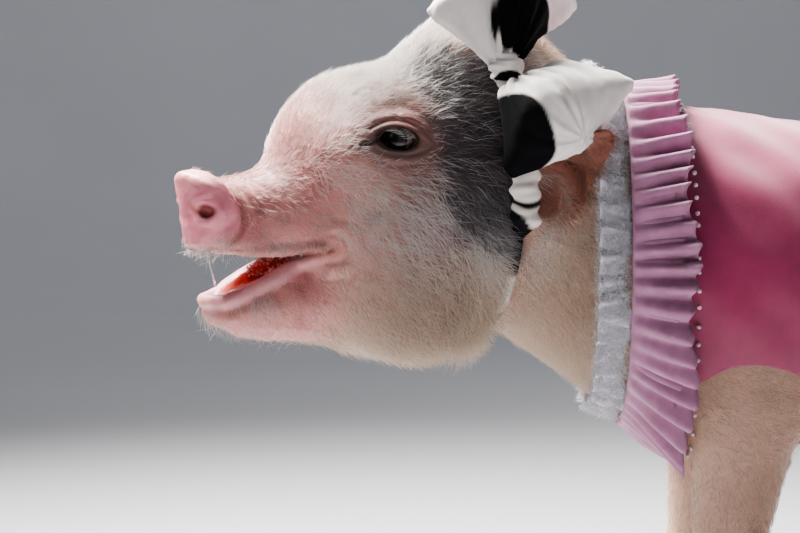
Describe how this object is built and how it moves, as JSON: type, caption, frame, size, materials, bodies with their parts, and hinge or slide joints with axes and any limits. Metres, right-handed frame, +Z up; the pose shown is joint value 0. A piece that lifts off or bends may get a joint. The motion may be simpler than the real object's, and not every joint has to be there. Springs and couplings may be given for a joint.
{
  "type": "miniature pig, still life-size model",
  "caption": "Still, life-size model of a young miniature pig, standing with its head turned and mouth open, in a bow headband and a dress.",
  "frame": {"origin": "on the floor, in the middle of the whole model's box seen from above", "axes": "+Z up; the body faces -X, its left side towards -Y; the head is turned 27 degrees to its left"},
  "size_m": [0.5825, 0.2222, 0.4027],
  "materials": {
    "skin": "soft pink skin under sparse pale bristles",
    "ear": "rust-coloured skin with short hair",
    "eye": "wet and glossy",
    "tongue": "wet",
    "hoof": "dull horn",
    "satin": "satin",
    "tulle": "soft pleated net",
    "lace": "fluffy lace",
    "bow_fabric": "matte print in black and white patches"
  },
  "bodies": {
    "root": {"head": "skin", "snout": "skin", "lower_jaw": "skin", "neck": "skin", "torso": "skin", "foreleg_left": "skin", "foreleg_right": "skin", "hind_leg_left": "skin", "hind_leg_right": "skin", "tail": "skin", "ear_left": "ear", "ear_right": "ear", "eye_left": "eye", "eye_right": "eye", "tongue": "tongue", "hoof_front_left_outer": "hoof", "hoof_front_left_inner": "hoof", "hoof_front_right_outer": "hoof", "hoof_front_right_inner": "hoof", "hoof_hind_left_outer": "hoof", "hoof_hind_left_inner": "hoof", "hoof_hind_right_outer": "hoof", "hoof_hind_right_inner": "hoof", "dress_bodice": "satin", "dress_collar_ruffle": "tulle", "dress_skirt": "tulle", "dress_lace": "lace", "headband": "bow_fabric", "bow_knot": "bow_fabric", "bow_lobe_near": "bow_fabric", "bow_lobe_far": "bow_fabric"}
  },
  "joints": []
}
